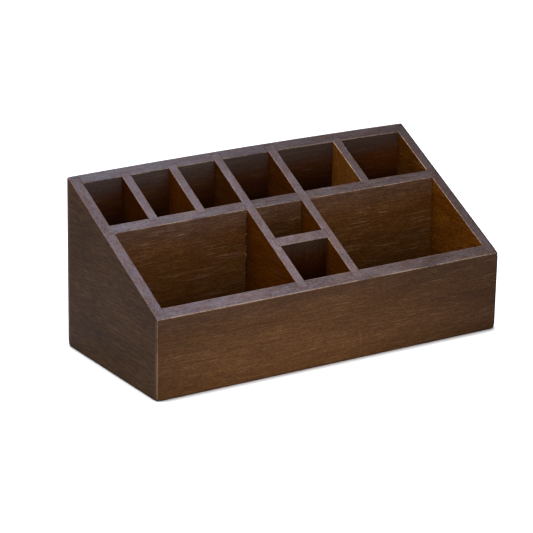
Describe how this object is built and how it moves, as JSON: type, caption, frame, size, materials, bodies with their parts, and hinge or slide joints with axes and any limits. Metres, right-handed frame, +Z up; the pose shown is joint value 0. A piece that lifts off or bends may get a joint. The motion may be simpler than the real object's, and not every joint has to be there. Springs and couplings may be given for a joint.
{
  "type": "desk organizer",
  "caption": "Open wooden desk organizer with a tall back, a low front and a slanted rim, parted by glued dividers into narrow back bays, two large front bays and two small middle ones.",
  "frame": {"origin": "centre of the base, at the height of what the box stands on", "axes": "+X to the right along the long front panel, +Y to the tall back, +Z up"},
  "size_m": [0.325, 0.142, 0.1422],
  "materials": {
    "case_wood": "dark walnut stain under satin lacquer",
    "divider_wood": "dark walnut stain under satin lacquer",
    "bottom_board": "stained thin board, matt",
    "brad_steel": "bright wire"
  },
  "bodies": {
    "root": {"front_panel": "case_wood", "back_panel": "case_wood", "left_side": "case_wood", "right_side": "case_wood", "cross_divider": "divider_wood", "left_through_divider": "divider_wood", "right_through_divider": "divider_wood", "back_divider_1": "divider_wood", "back_divider_2": "divider_wood", "back_divider_3": "divider_wood", "middle_cross_piece": "divider_wood", "bottom_panel": "bottom_board", "bottom_brads": "brad_steel"}
  },
  "joints": []
}
